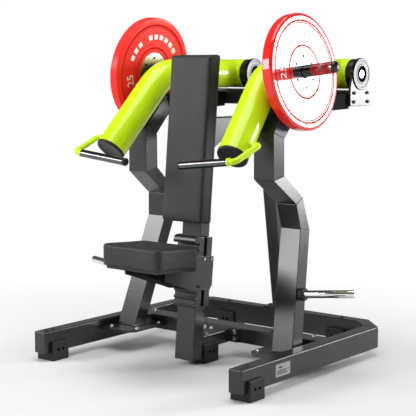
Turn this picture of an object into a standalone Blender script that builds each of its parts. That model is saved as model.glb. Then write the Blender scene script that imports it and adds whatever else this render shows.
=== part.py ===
"""Plate-loaded chest press machine, one closed solid per piece.

Metres, +Z up, the user faces -Y, mirror plane X = 0, floor at Z = 0.
Depths (y) are given from the front ends of the floor rails and shifted by
DEPTH_MID, so that the origin is the middle of the footprint.
"""
import math

import bmesh
import bpy
from mathutils import Vector

for old in list(bpy.data.objects):
    bpy.data.objects.remove(old, do_unlink=True)

GAP = 0.0003
DEPTH_MID = 0.5335
EDGE = 0.003

# Floor frame
RAIL_IN, RAIL_OUT = 0.461, 0.521
BASE_LOW, BASE_TOP = 0.033, 0.121
RAIL_END_OUT, RAIL_END_IN = 0.929, 0.904
REAR_FRONT, REAR_BACK = 0.971, 1.031
REAR_X_BACK, REAR_X_FRONT = 0.415, 0.390
MID_FRONT, MID_BACK, MID_LOW = 0.552, 0.642, 0.061
SPINE_HALF, SPINE_LOW, SPINE_TOP = 0.045, 0.058, 0.112
FOOT_SIZE = 0.090
FOOT_WALL_TOP = 0.078

# Column, backrest post and backrest share one lean
LEAN = math.radians(5.5)
COLUMN_FRONT, COLUMN_DEPTH, COLUMN_HALF = 0.311, 0.060, 0.047
COLUMN_LOW, COLUMN_TOP = 0.022, 0.512
SLEEVE_HALF, SLEEVE_FRONT, SLEEVE_REAR = 0.0505, -0.004, 0.077
SLEEVE_LOW_FRONT, SLEEVE_LOW_REAR = 0.243, 0.228
SLOT_LOW, SLOT_MID, SLOT_WIDTH = 0.2345, 0.034, 0.019
POST_HALF, POST_TOP = 0.030, 1.150
RACK_LOW, RACK_TEETH, RACK_PITCH = 0.236, 9, 0.028
RACK_HALF, RACK_WEB, RACK_TOOTH = 0.0555, 0.0105, 0.0180
HOOK = [(0.0105, 0.4885), (0.0365, 0.4895), (0.0385, 0.4940), (0.0380, 0.5060), (0.0320, 0.5150),
        (0.0220, 0.5185), (0.0043, 0.5185)]

# Cushions
BACK_HALF, BACK_THICK = 0.104, 0.070
BACK_LOW, BACK_TOP = 0.562, 1.226
SEAT_HALF, SEAT_FRONT, SEAT_REAR = 0.150, -0.010, 0.240
SEAT_LOW, SEAT_THICK = 0.4300, 0.078
SEAT_TILT = math.radians(3.8)
BOARD_THICK = 0.012

# Uprights: front edge and rear edge, foot to beam, as (y, z)
LEG_FRONT = [(0.415, 0.0935), (0.551, 0.552), (0.538, 0.647), (0.403, 0.748),
             (0.403, 0.930), (0.530, 1.058), (0.9295, 1.066)]
LEG_REAR = [(0.483, 0.0935), (0.612, 0.542), (0.586, 0.671), (0.475, 0.762),
            (0.473, 0.903), (0.562, 0.995), (0.9295, 1.004)]
LEG_HALF = 0.047
LEG_FOOT_X, LEG_SPLAY, LEG_SPLAY_TOP = 0.400, math.tan(math.radians(7.0)), 0.755

# Top beam and pivots
BEAM_HALF, BEAM_FRONT, BEAM_BACK = 0.3685, 0.930, 1.068
BEAM_LOW, BEAM_TOP = 1.013, 1.078
PIVOT_Y, PIVOT_Z = 0.998, 1.145
ARM_X, ARM_R = 0.270, 0.0605
HUB_HALF = 0.068
HOUSING_R, RING_R, BEARING_R, SHAFT_R = 0.0615, 0.0655, 0.0330, 0.0175
HOUSING_LENGTH, PLATE_THICK, RING_THICK = 0.030, 0.010, 0.005

# Arm centreline
ELBOW = (0.268, 0.497, 1.145)
ARM_END = (0.3045, 0.230, 0.8515)
ELBOW_RADIUS = 0.16

# Pegs and weight plates
PEG_TILT = math.atan(0.12)
LOAD_Y, PEG_R, PEG_ROOT, PEG_LENGTH = 0.555, 0.0230, 0.3318, 0.2010
PLATE_FROM, PLATE_BORE, HUB_R = 0.3605, 0.0252, 0.082
DISC_R, DISC_THICK = 0.225, 0.043
STORE_R = 0.0150
STORE_ROOT, STORE_LENGTH = (0.4225, 0.503, 0.307), 0.245

STEEL = (0.045, 0.045, 0.047, 1.0)
BLACK = (0.012, 0.012, 0.012, 1.0)
PADDING = (0.03, 0.03, 0.03, 1.0)
LIME = (0.62, 0.80, 0.02, 1.0)
RED = (0.70, 0.015, 0.015, 1.0)
CHROME = (0.75, 0.75, 0.76, 1.0)
SILVER = (0.55, 0.55, 0.56, 1.0)


def material(name, color, metallic, roughness):
    mat = bpy.data.materials.new(name)
    mat.use_nodes = True
    shader = mat.node_tree.nodes["Principled BSDF"]
    shader.inputs["Base Color"].default_value = color
    shader.inputs["Metallic"].default_value = metallic
    shader.inputs["Roughness"].default_value = roughness
    return mat


MATERIALS = {
    "steel": material("charcoal_paint", STEEL, 0.2, 0.45),
    "black": material("black_rubber", BLACK, 0.0, 0.6),
    "padding": material("padding", PADDING, 0.0, 0.7),
    "lime": material("lime_paint", LIME, 0.0, 0.3),
    "red": material("red_paint", RED, 0.0, 0.25),
    "chrome": material("chrome", CHROME, 1.0, 0.15),
    "silver": material("silver_plate", SILVER, 0.9, 0.35),
}


def at(x, y, z):
    return Vector((x, y - DEPTH_MID, z))


def lean_y(z):
    """Depth of the column's front face at height z."""
    return COLUMN_FRONT + (z - BASE_LOW) * math.tan(LEAN)


def rack_front(z):
    """Depth that clears the tips of the seat rack at height z."""
    return lean_y(z) - RACK_TOOTH - 0.0015


def add(name, verts, faces, look, smooth=False, origin=None):
    origin = Vector(origin) if origin is not None else Vector((0, 0, 0))
    mesh = bpy.data.meshes.new(name)
    mesh.from_pydata([Vector(v) - origin for v in verts], [], faces)
    work = bmesh.new()
    work.from_mesh(mesh)
    bmesh.ops.recalc_face_normals(work, faces=work.faces)
    for face in work.faces:
        face.smooth = smooth and len(face.verts) <= 4
    work.to_mesh(mesh)
    work.free()
    mesh.materials.append(MATERIALS[look])
    obj = bpy.data.objects.new(name, mesh)
    obj.location = origin
    bpy.context.collection.objects.link(obj)
    return obj


def bevel(obj, width=EDGE, segments=1, angle=35.0):
    mod = obj.modifiers.new("edges", "BEVEL")
    mod.width = width
    mod.segments = segments
    mod.limit_method = "ANGLE"
    mod.angle_limit = math.radians(angle)
    return obj


def loft(name, rings, look, smooth=False, origin=None):
    """Closed solid through rings of equal length, capped at both ends."""
    count = len(rings[0])
    verts = [v for ring in rings for v in ring]
    faces = []
    for k in range(len(rings) - 1):
        for i in range(count):
            j = (i + 1) % count
            faces.append((k * count + i, k * count + j, (k + 1) * count + j, (k + 1) * count + i))
    faces.append(tuple(range(count)))
    faces.append(tuple(range((len(rings) - 1) * count, len(rings) * count)))
    return add(name, verts, faces, look, smooth, origin)


def slab_x(name, outline, x0, x1, look, origin=None):
    """(y, z) outline pulled along X."""
    rings = [[at(x, y, z) for y, z in outline] for x in (x0, x1)]
    return loft(name, rings, look, origin=origin)


def slab_z(name, outline, z0, z1, look):
    """(x, y) outline pulled along Z."""
    return loft(name, [[at(x, y, z) for x, y in outline] for z in (z0, z1)], look)


def box(name, x0, x1, y0, y1, z0, z1, look):
    return slab_z(name, [(x0, y0), (x1, y0), (x1, y1), (x0, y1)], z0, z1, look)


def frame_of(direction):
    forward = Vector(direction).normalized()
    side = forward.cross(Vector((0, 0, 1)))
    if side.length < 1e-6:
        side = Vector((1, 0, 0))
    side.normalize()
    return forward, side, forward.cross(side)


def turned(name, start, direction, profile, look, segments=32, origin=None):
    """Solid of revolution; profile is (distance, radius) along the axis."""
    forward, side, other = frame_of(direction)
    rings = []
    for along, radius in profile:
        centre = Vector(start) + forward * along
        rings.append([centre + (side * math.cos(a) + other * math.sin(a)) * radius
                      for a in [2 * math.pi * i / segments for i in range(segments)]])
    return loft(name, rings, look, smooth=True, origin=origin)


def hollow(name, start, axis, look, segments, profile):
    """Solid of revolution with a hole; profile is a closed (distance, radius) loop."""
    forward, first, second = frame_of(axis)
    verts = []
    for along, radius in profile:
        for k in range(segments):
            a = 2 * math.pi * k / segments
            verts.append(start + forward * along + (first * math.cos(a) + second * math.sin(a)) * radius)
    faces = []
    count = len(profile)
    for k in range(count):
        for i in range(segments):
            j = (i + 1) % segments
            n = (k + 1) % count
            faces.append((k * segments + i, k * segments + j, n * segments + j, n * segments + i))
    return add(name, verts, faces, look, True)


def swept(name, path, radius, look, segments=32, origin=None):
    """Round bar along a path of points."""
    points = [Vector(p) for p in path]
    forward, side, other = frame_of(points[1] - points[0])
    rings = []
    for k, point in enumerate(points):
        before = (point - points[k - 1]).normalized() if k else forward
        after = (points[k + 1] - point).normalized() if k + 1 < len(points) else before
        tangent = (before + after).normalized()
        turn = forward.rotation_difference(tangent)
        side.rotate(turn)
        other.rotate(turn)
        forward = tangent
        rings.append([point + (side * math.cos(a) + other * math.sin(a)) * radius
                      for a in [2 * math.pi * i / segments for i in range(segments)]])
    return loft(name, rings, look, smooth=True, origin=origin)


def rounded(corners, radius, steps):
    """Path through corners with arcs of the given radius at the inner ones."""
    points = [Vector(c) for c in corners]
    path = [points[0]]
    for before, corner, after in zip(points, points[1:], points[2:]):
        first = (before - corner).normalized()
        second = (after - corner).normalized()
        half = first.angle(second) / 2
        reach = radius / math.tan(half)
        centre = corner + (first + second).normalized() * (radius / math.sin(half))
        start = corner + first * reach - centre
        end = corner + second * reach - centre
        for k in range(steps + 1):
            path.append(centre + start.slerp(end, k / steps).normalized() * radius)
    path.append(points[-1])
    return path


def helper_of(obj):
    obj.hide_render = True
    obj.display_type = "WIRE"
    return obj


def combine(obj, tool, operation):
    mod = obj.modifiers.new(operation.lower(), "BOOLEAN")
    mod.operation = operation
    mod.solver = "EXACT"
    mod.object = helper_of(tool)
    return obj


def side_name(sign):
    return "right" if sign > 0 else "left"


def floor_frame():
    for sign in (1, -1):
        outline = [(sign * RAIL_IN, 0.0), (sign * RAIL_OUT, 0.0),
                   (sign * RAIL_OUT, RAIL_END_OUT), (sign * RAIL_IN, RAIL_END_IN)]
        bevel(slab_z(side_name(sign) + "_rail", outline, BASE_LOW, BASE_TOP, "steel"))
    half = GAP * 1.2
    corner = [(RAIL_OUT, RAIL_END_OUT + half), (REAR_X_BACK, REAR_BACK), (-REAR_X_BACK, REAR_BACK),
              (-RAIL_OUT, RAIL_END_OUT + half), (-RAIL_IN, RAIL_END_IN + half),
              (-REAR_X_FRONT, REAR_FRONT), (REAR_X_FRONT, REAR_FRONT), (RAIL_IN, RAIL_END_IN + half)]
    bevel(slab_z("rear_crossbar", corner, BASE_LOW, BASE_TOP, "steel"))
    reach = RAIL_IN - GAP
    bevel(box("mid_crossbar", -reach, reach, MID_FRONT, MID_BACK, MID_LOW, BASE_TOP, "steel"))
    start = lean_y(SPINE_TOP) + COLUMN_DEPTH + 0.001
    bevel(box("centre_spine", -SPINE_HALF, SPINE_HALF, start, MID_FRONT - GAP,
              SPINE_LOW, SPINE_TOP, "steel"))


def foot(name, x, y, outer, width_inside, floor_of_rail):
    """Saddle block under a tube that runs along Y."""
    wall_top = FOOT_WALL_TOP
    inner = width_inside / 2 + GAP
    outline = [(-outer, 0.0), (outer, 0.0), (outer, wall_top), (inner, wall_top),
               (inner, floor_of_rail), (-inner, floor_of_rail), (-inner, wall_top), (-outer, wall_top)]
    rings = [[at(x + dx, depth, z) for dx, z in outline] for depth in (y, y + FOOT_SIZE)]
    return bevel(loft(name, rings, "black"), 0.002)


def cross_foot(name, x):
    """Saddle block under the rear crossbar."""
    front, back = REAR_FRONT - 0.015, REAR_BACK + 0.015
    low = BASE_LOW - GAP
    outline = [(front, 0.0), (back, 0.0), (back, FOOT_WALL_TOP), (REAR_BACK + GAP, FOOT_WALL_TOP),
               (REAR_BACK + GAP, low), (REAR_FRONT - GAP, low), (REAR_FRONT - GAP, FOOT_WALL_TOP),
               (front, FOOT_WALL_TOP)]
    return bevel(slab_x(name, outline, x - FOOT_SIZE / 2, x + FOOT_SIZE / 2, "black"), 0.002)


def feet():
    rail_mid = (RAIL_IN + RAIL_OUT) / 2
    for sign in (1, -1):
        foot(side_name(sign) + "_front_foot", sign * rail_mid, 0.030, FOOT_SIZE / 2,
             RAIL_OUT - RAIL_IN, BASE_LOW - GAP)
        cross_foot(side_name(sign) + "_rear_foot", sign * 0.290)
    foot("centre_foot", 0.0, 0.3765, 0.056, 2 * SPINE_HALF, SPINE_LOW - GAP)


def leg_x(z):
    return LEG_FOOT_X - (min(z, LEG_SPLAY_TOP) - LEG_FRONT[0][1]) * LEG_SPLAY


def uprights():
    for sign in (1, -1):
        rings = []
        for (front_y, front_z), (rear_y, rear_z) in zip(LEG_FRONT, LEG_REAR):
            ring = []
            for y, z, half in ((front_y, front_z, -LEG_HALF), (front_y, front_z, LEG_HALF),
                               (rear_y, rear_z, LEG_HALF), (rear_y, rear_z, -LEG_HALF)):
                ring.append(at(sign * (leg_x(z) + half), y, z))
            rings.append(ring)
        bevel(loft(side_name(sign) + "_upright", rings, "steel"), EDGE, 1, 20.0)
        inner, outer = 0.295, RAIL_IN - GAP
        outline = [(sign * inner, 0.360), (sign * 0.325, 0.325), (sign * outer, 0.325),
                   (sign * outer, MID_FRONT - GAP), (sign * inner, MID_FRONT - GAP)]
        bevel(slab_z(side_name(sign) + "_leg_plate", outline, 0.083, 0.093, "steel"), 0.001)


def rear_structure():
    bevel(box("rear_post_plate", -0.090, 0.090, REAR_FRONT, REAR_BACK,
              BASE_TOP + GAP, BASE_TOP + GAP + 0.008, "steel"), 0.001)
    low = BASE_TOP + 0.0089
    outline = [(0.957, low), (1.033, low), (0.9215, 0.8867), (0.8455, 0.8867)]
    bevel(slab_x("rear_post", outline, -POST_HALF, POST_HALF, "steel"))
    rear = COLUMN_DEPTH
    outline = [(lean_y(0.842) + rear, 0.842), (0.530, 0.887), (BEAM_FRONT - GAP, 0.887),
               (BEAM_FRONT - GAP, 1.066), (0.840, 0.975), (lean_y(0.975) + rear, 0.975)]
    bevel(slab_x("link_beam", outline, -POST_HALF, POST_HALF, "steel"))
    bevel(box("top_beam", -BEAM_HALF, BEAM_HALF, BEAM_FRONT, BEAM_BACK, BEAM_LOW, BEAM_TOP, "steel"))


def column():
    low, inside = COLUMN_LOW, 0.300
    outline = [(lean_y(low), low), (lean_y(low) + COLUMN_DEPTH, low),
               (lean_y(inside) + COLUMN_DEPTH, inside), (lean_y(inside), inside)]
    body = bevel(slab_x("seat_column", outline, -COLUMN_HALF, COLUMN_HALF, "steel"))
    rear_top = COLUMN_TOP - (SLEEVE_REAR - SLEEVE_FRONT) * math.sin(LEAN)
    outline = [(lean_y(SLEEVE_LOW_FRONT) + SLEEVE_FRONT, SLEEVE_LOW_FRONT),
               (lean_y(SLEEVE_LOW_REAR) + SLEEVE_REAR, SLEEVE_LOW_REAR),
               (lean_y(rear_top) + SLEEVE_REAR, rear_top), (lean_y(COLUMN_TOP) + SLEEVE_FRONT, COLUMN_TOP)]
    sleeve = bevel(slab_x("sleeve_tool", outline, -SLEEVE_HALF, SLEEVE_HALF, "steel"), 0.0015)
    combine(body, sleeve, "UNION")
    half, past = SLOT_WIDTH / 2, COLUMN_TOP + 0.010
    slot = [(lean_y(SLOT_LOW) + SLOT_MID - half, SLOT_LOW), (lean_y(SLOT_LOW) + SLOT_MID + half, SLOT_LOW),
            (lean_y(past) + SLOT_MID + half, past), (lean_y(past) + SLOT_MID - half, past)]
    combine(body, slab_x("slot_tool", slot, -SLEEVE_HALF - 0.01, SLEEVE_HALF + 0.01, "steel"), "DIFFERENCE")


def rack():
    """Toothed strip on the sleeve's front, with a hook at its top."""
    outline = []
    for k in range(RACK_TEETH):
        z = RACK_LOW + k * RACK_PITCH
        outline.append((lean_y(z) - RACK_WEB, z))
        outline.append((lean_y(z) - RACK_TOOTH, z + 0.005))
        outline.append((lean_y(z) - RACK_TOOTH, z + 0.013))
        outline.append((lean_y(z) - RACK_WEB, z + 0.013))
    outline += [(lean_y(z) - out, z) for out, z in HOOK]
    outline.append((lean_y(RACK_LOW) + SLEEVE_FRONT - GAP, RACK_LOW))
    slab_x("seat_rack", outline, -RACK_HALF, RACK_HALF, "steel")


def backrest_post():
    bottom = COLUMN_TOP + GAP
    front = 0.001
    depth = COLUMN_DEPTH - 0.002
    slope = -math.tan(LEAN)
    outline = [(lean_y(bottom) + front, bottom + front * slope),
               (lean_y(bottom) + front + depth, bottom + (front + depth) * slope),
               (lean_y(POST_TOP) + front + depth, POST_TOP), (lean_y(POST_TOP) + front, POST_TOP)]
    bevel(slab_x("backrest_post", outline, -COLUMN_HALF, COLUMN_HALF, "steel"))


def backrest():
    thick = BACK_THICK / math.cos(LEAN)

    def rear_of(z):
        return lean_y(z) + 0.001 - GAP * 2
    outline = [(rear_of(BACK_LOW) - thick, BACK_LOW + BACK_THICK * math.sin(LEAN)),
               (rear_of(BACK_LOW), BACK_LOW), (rear_of(BACK_TOP), BACK_TOP),
               (rear_of(BACK_TOP) - thick, BACK_TOP)]
    bevel(slab_x("backrest_cushion", outline, -BACK_HALF, BACK_HALF, "padding"), 0.012, 3)


def seat_low(y):
    """Height of the cushion's underside at depth y."""
    return SEAT_LOW - (y - SEAT_FRONT) * math.tan(SEAT_TILT)


def board_top(y):
    return seat_low(y) - GAP


def board_low(y):
    return board_top(y) - BOARD_THICK - GAP


def seat():
    lift = SEAT_THICK / math.cos(SEAT_TILT)
    outline = [(SEAT_FRONT, seat_low(SEAT_FRONT)), (SEAT_REAR, seat_low(SEAT_REAR)),
               (SEAT_REAR, seat_low(SEAT_REAR) + lift), (SEAT_FRONT, seat_low(SEAT_FRONT) + lift)]
    bevel(slab_x("seat_cushion", outline, -SEAT_HALF, SEAT_HALF, "padding"), 0.014, 3)
    front, back = SEAT_FRONT + 0.020, SEAT_REAR - 0.010
    outline = [(front, board_top(front) - BOARD_THICK), (back, board_top(back) - BOARD_THICK),
               (back, board_top(back)), (front, board_top(front))]
    bevel(slab_x("seat_board", outline, -0.130, 0.130, "black"), 0.001)
    outline = [(0.030, board_low(0.030)), (0.030, 0.398), (0.274, 0.314), (rack_front(0.307), 0.307),
               (rack_front(0.392), 0.3925), (0.200, board_low(0.200))]
    bevel(slab_x("seat_bracket", outline, -0.0560, 0.0560, "black"), 0.003)
    outline = [(0.129, 0.368), (0.129, board_low(0.129) - 0.0005), (0.243, board_low(0.243) - 0.0005),
               (0.281, 0.444), (0.426, 0.430), (0.413, 0.316), (0.399, 0.2985), (0.296, 0.3065)]
    for sign in (1, -1):
        bevel(slab_x(side_name(sign) + "_seat_plate", outline, sign * 0.0565, sign * 0.0625, "steel"), 0.001)


def circle_yz(y, z, radius, count=32):
    return [(y + radius * math.cos(2 * math.pi * k / count), z + radius * math.sin(2 * math.pi * k / count))
            for k in range(count)]


def hull(points):
    points = sorted(set(points))

    def half(sequence):
        chain = []
        for p in sequence:
            while len(chain) >= 2:
                (ax, ay), (bx, by) = chain[-2], chain[-1]
                if (bx - ax) * (p[1] - ay) - (by - ay) * (p[0] - ax) > 1e-9:
                    break
                chain.pop()
            chain.append(p)
        return chain[:-1]
    return half(points) + half(points[::-1])


def pivot_bracket(name, inside, outward, outline_low, half_length):
    """Plate with a round bearing housing; inside is the arm-side face of the housing."""
    plate_from = inside + outward * HOUSING_LENGTH
    plate_to = plate_from + outward * PLATE_THICK
    points = circle_yz(PIVOT_Y, PIVOT_Z, HOUSING_R)
    shoulder = outline_low + 0.072 if outline_low < BEAM_TOP - 0.01 else outline_low + 0.012
    points += [(PIVOT_Y - half_length, outline_low), (PIVOT_Y + half_length, outline_low),
               (PIVOT_Y - half_length, shoulder), (PIVOT_Y + half_length, shoulder)]
    plate = slab_x(name, hull(points), plate_from, plate_to, "steel")
    housing = turned(name + "_housing", at(inside, PIVOT_Y, PIVOT_Z), (outward, 0, 0),
                     [(0, HOUSING_R - 0.002), (0.002, HOUSING_R), (HOUSING_LENGTH + 0.004, HOUSING_R)],
                     "steel", 32)
    ring = turned(name + "_ring", at(plate_to - outward * 0.003, PIVOT_Y, PIVOT_Z), (outward, 0, 0),
                  [(0, RING_R), (RING_THICK + 0.001, RING_R), (RING_THICK + 0.003, RING_R - 0.002)],
                  "steel", 32)
    bore = turned(name + "_bore", at(inside - outward * 0.01, PIVOT_Y, PIVOT_Z), (outward, 0, 0),
                  [(0, BEARING_R), (0.07, BEARING_R)], "steel", 28)
    combine(plate, housing, "UNION")
    combine(plate, ring, "UNION")
    combine(plate, bore, "DIFFERENCE")
    return plate


def pivots():
    for sign in (1, -1):
        side = side_name(sign)
        outer_in = sign * (ARM_X + HUB_HALF + 0.0012)
        inner_in = sign * (ARM_X - HUB_HALF - 0.0012)
        pivot_bracket(side + "_outer_bracket", outer_in, sign, 1.015, 0.079)
        pivot_bracket(side + "_inner_bracket", inner_in, -sign, BEAM_TOP + GAP, 0.055)
        length = HOUSING_LENGTH + PLATE_THICK + RING_THICK
        for part, start, outward in (("outer", outer_in, sign), ("inner", inner_in, -sign)):
            radius = BEARING_R - GAP
            body = turned(side + "_" + part + "_bearing", at(start, PIVOT_Y, PIVOT_Z), (outward, 0, 0),
                          [(0, radius), (length - 0.004, radius), (length - 0.002, radius - 0.002)],
                          "silver", 28)
            bore = turned(side + "_" + part + "_bearing_bore", at(start - outward * 0.01, PIVOT_Y, PIVOT_Z),
                          (outward, 0, 0), [(0, SHAFT_R + GAP), (0.08, SHAFT_R + GAP)], "silver", 24)
            combine(body, bore, "DIFFERENCE")
        reach = HUB_HALF + 0.0012 + length - 0.001
        centre = at(sign * ARM_X, PIVOT_Y, PIVOT_Z)
        turned(side + "_pivot_shaft", centre - Vector((reach, 0, 0)), (1, 0, 0),
               [(0, SHAFT_R - 0.002), (0.002, SHAFT_R), (2 * reach - 0.002, SHAFT_R),
                (2 * reach, SHAFT_R - 0.002)], "chrome", 24, origin=centre)


def arm_centreline(sign):
    start = at(sign * 0.2695, PIVOT_Y - 0.012, PIVOT_Z)
    elbow = at(sign * ELBOW[0], ELBOW[1], ELBOW[2])
    end = at(sign * ARM_END[0], ARM_END[1], ARM_END[2])
    return start, elbow, end


def arms():
    for sign in (1, -1):
        side = side_name(sign)
        pivot = at(sign * ARM_X, PIVOT_Y, PIVOT_Z)
        start, elbow, end = arm_centreline(sign)
        arm = swept(side + "_arm", rounded([start, elbow, end], ELBOW_RADIUS, 6), ARM_R, "lime", 32, pivot)
        hub = turned(side + "_arm_hub", pivot - Vector((HUB_HALF, 0, 0)), (1, 0, 0),
                     [(0, ARM_R + 0.0008), (2 * HUB_HALF, ARM_R + 0.0008)], "lime", 32)
        bore = turned(side + "_arm_bore", pivot - Vector((0.1, 0, 0)), (1, 0, 0),
                      [(0, SHAFT_R + GAP), (0.2, SHAFT_R + GAP)], "lime", 24)
        combine(arm, hub, "UNION")
        combine(arm, bore, "DIFFERENCE")
        down = (end - elbow).normalized()
        turned(side + "_arm_cap", end + down * GAP, down,
               [(0, ARM_R - 0.0005), (0.009, ARM_R - 0.0005), (0.013, ARM_R - 0.005)],
               "black", 32, pivot)
        handle(sign, pivot, end, down)
        load_peg(sign, pivot)


def handle(sign, pivot, arm_end, down):
    side = side_name(sign)
    inner = at(sign * 0.142, 0.128, 0.813)
    outer = at(sign * 0.367, 0.125, 0.837)
    along = (outer - inner).normalized()
    length = (outer - inner).length
    turned(side + "_grip", inner, along, [(0, 0.0150), (length, 0.0150)], "chrome", 24, pivot)
    turned(side + "_grip_cap", inner - along * (0.012 + GAP), along,
           [(0, 0.0120), (0.003, 0.0155), (0.012, 0.0155)], "black", 24, pivot)
    root = arm_end - down * 0.043
    outward = Vector((sign, 0.0, 0.0))
    outward = (outward - down * outward.dot(down)).normalized()
    corners = [outer + along * GAP, outer + along * 0.032, at(sign * 0.405, 0.262, 0.893),
               root + outward * (ARM_R + 0.0006)]
    swept(side + "_handle_rod", rounded(corners, 0.018, 4), 0.0115, "lime", 16, pivot)


def load_peg(sign, pivot):
    side = side_name(sign)
    axis = Vector((sign * math.cos(PEG_TILT), 0, math.sin(PEG_TILT)))

    def on_axis(x):
        return at(sign * x, LOAD_Y, 1.156 + (x - 0.382) * math.tan(PEG_TILT))
    stop = (PLATE_FROM - PEG_ROOT) / math.cos(PEG_TILT) - GAP
    turned(side + "_load_peg", on_axis(PEG_ROOT), axis,
           [(0, 0.033), (stop - 0.002, 0.033), (stop, 0.031), (stop + 0.0002, PEG_R),
            (PEG_LENGTH, PEG_R)], "chrome", 32, pivot)
    tip = on_axis(PEG_ROOT) + axis * (PEG_LENGTH + GAP)
    turned(side + "_load_cap", tip, axis, [(0, PEG_R), (0.014, PEG_R), (0.019, PEG_R - 0.005)],
           "black", 32, pivot)
    back = on_axis(PLATE_FROM) - Vector((0, 0, PLATE_BORE - PEG_R - GAP))
    hollow(side + "_weight_plate", back, axis, "red", 48,
           [(0.0, HUB_R + GAP), (0.0, DISC_R - 0.004), (0.004, DISC_R), (DISC_THICK - 0.004, DISC_R),
            (DISC_THICK, DISC_R - 0.004), (DISC_THICK, HUB_R + GAP)])
    hollow(side + "_plate_hub", back, axis, "silver", 40,
           [(0.002, PLATE_BORE), (0.002, HUB_R), (DISC_THICK - 0.002, HUB_R),
            (DISC_THICK - 0.002, PLATE_BORE)])


def storage_pegs():
    for sign in (1, -1):
        side = side_name(sign)
        axis = Vector((sign * math.cos(PEG_TILT), 0, math.sin(PEG_TILT)))
        root = at(sign * STORE_ROOT[0], STORE_ROOT[1], STORE_ROOT[2])
        side_x = leg_x(STORE_ROOT[2]) + LEG_HALF
        start = root + axis * ((side_x - STORE_ROOT[0]) + 0.006)
        turned(side + "_storage_peg", start, axis,
               [(0, STORE_R), (STORE_LENGTH - 0.002, STORE_R), (STORE_LENGTH, STORE_R - 0.002)],
               "chrome", 24)
        collar = turned(side + "_storage_collar", start, axis, [(0, 0.025), (0.020, 0.025), (0.023, 0.023)],
                        "black", 32)
        bore = turned(side + "_storage_bore", start - axis * 0.02, axis,
                      [(0, STORE_R + GAP), (0.08, STORE_R + GAP)], "black", 24)
        combine(collar, bore, "DIFFERENCE")


def label():
    face = RAIL_OUT + GAP
    box("label_plate", face, face + 0.001, 0.204, 0.296, 0.055, 0.102, "silver")


floor_frame()
feet()
uprights()
rear_structure()
column()
rack()
backrest_post()
backrest()
seat()
pivots()
arms()
storage_pegs()
label()
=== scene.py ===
"""Looks of the plate-loaded chest press machine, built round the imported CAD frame.

Metres, +Z up, the user faces -Y, mirror plane X = 0, floor at Z = 0.
Depths (y) are given from the front ends of the floor rails, as in the CAD source.
"""

import math

import bmesh
import bpy
import numpy as np
from mathutils import Matrix, Vector
from mathutils.bvhtree import BVHTree


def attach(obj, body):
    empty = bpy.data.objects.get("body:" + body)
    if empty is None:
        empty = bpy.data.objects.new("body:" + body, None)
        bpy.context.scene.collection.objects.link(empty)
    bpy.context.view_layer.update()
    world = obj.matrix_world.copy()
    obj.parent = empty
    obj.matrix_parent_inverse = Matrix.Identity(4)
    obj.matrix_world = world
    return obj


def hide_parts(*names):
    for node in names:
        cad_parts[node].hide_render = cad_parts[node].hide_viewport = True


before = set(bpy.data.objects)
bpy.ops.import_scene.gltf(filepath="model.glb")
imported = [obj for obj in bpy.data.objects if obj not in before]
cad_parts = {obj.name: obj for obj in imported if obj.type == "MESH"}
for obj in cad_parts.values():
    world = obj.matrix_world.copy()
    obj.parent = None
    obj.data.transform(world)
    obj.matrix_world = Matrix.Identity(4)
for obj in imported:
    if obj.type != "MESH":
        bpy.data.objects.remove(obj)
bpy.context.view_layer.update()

DEPTH_MID = 0.5335
SIDES = ((1, "right"), (-1, "left"))
GAP = 0.0003

# Floor frame
RAIL_IN, RAIL_OUT = 0.461, 0.521
BASE_LOW, BASE_TOP = 0.033, 0.121
RAIL_END_OUT, RAIL_END_IN = 0.929, 0.904
REAR_FRONT, REAR_BACK = 0.971, 1.031
REAR_X_BACK, REAR_X_FRONT = 0.415, 0.390
MID_FRONT, MID_BACK, MID_LOW = 0.552, 0.642, 0.061
SPINE_HALF, SPINE_LOW, SPINE_TOP = 0.045, 0.058, 0.112
FOOT_SIZE, FOOT_WALL_TOP = 0.090, 0.078

# Column, backrest post and backrest share one lean
LEAN = math.radians(5.5)
COLUMN_FRONT, COLUMN_DEPTH, COLUMN_HALF = 0.311, 0.060, 0.047
COLUMN_LOW, COLUMN_TOP, TUBE_TOP = 0.022, 0.512, 0.300
SLEEVE_HALF, SLEEVE_FRONT, SLEEVE_REAR = 0.0505, -0.004, 0.077
SLEEVE_LOW_FRONT, SLEEVE_LOW_REAR = 0.243, 0.228
SLOT_LOW, SLOT_MID, SLOT_WIDTH = 0.2345, 0.034, 0.019
POST_HALF, POST_TOP = 0.030, 1.150
RACK_LOW, RACK_TEETH, RACK_PITCH = 0.236, 9, 0.028
RACK_HALF, RACK_WEB, RACK_TOOTH = 0.0555, 0.0105, 0.0180
HOOK = [(0.0105, 0.4885), (0.0365, 0.4895), (0.0385, 0.4940), (0.0380, 0.5060), (0.0320, 0.5150),
        (0.0220, 0.5185), (0.0043, 0.5185)]

# Cushions
BACK_HALF, BACK_THICK, BACK_LOW, BACK_TOP = 0.104, 0.070, 0.562, 1.226
SEAT_HALF, SEAT_FRONT, SEAT_REAR = 0.150, -0.010, 0.240
SEAT_LOW, SEAT_THICK, SEAT_TILT = 0.4300, 0.078, math.radians(3.8)
BOARD_THICK, CUSHION_INSET, SEAM_R = 0.012, 0.003, 0.0011
CLOTH_FRAMES, CLOTH_PRESSURE, CLOTH_VOXEL, SMOOTHING_ROUNDS = 20, 4.0, 0.005, 40
CROWN_HEIGHT, CROWN_RIM = 0.0075, 0.024

# Uprights: front edge and rear edge, foot to beam, as (y, z)
LEG_FRONT = [(0.415, 0.0935), (0.551, 0.552), (0.538, 0.647), (0.403, 0.748),
             (0.403, 0.930), (0.530, 1.058), (0.9295, 1.066)]
LEG_REAR = [(0.483, 0.0935), (0.612, 0.542), (0.586, 0.671), (0.475, 0.762),
            (0.473, 0.903), (0.562, 0.995), (0.9295, 1.004)]
LEG_HALF, LEG_FOOT_X = 0.047, 0.400
LEG_SPLAY, LEG_SPLAY_TOP = math.tan(math.radians(7.0)), 0.755

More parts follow.
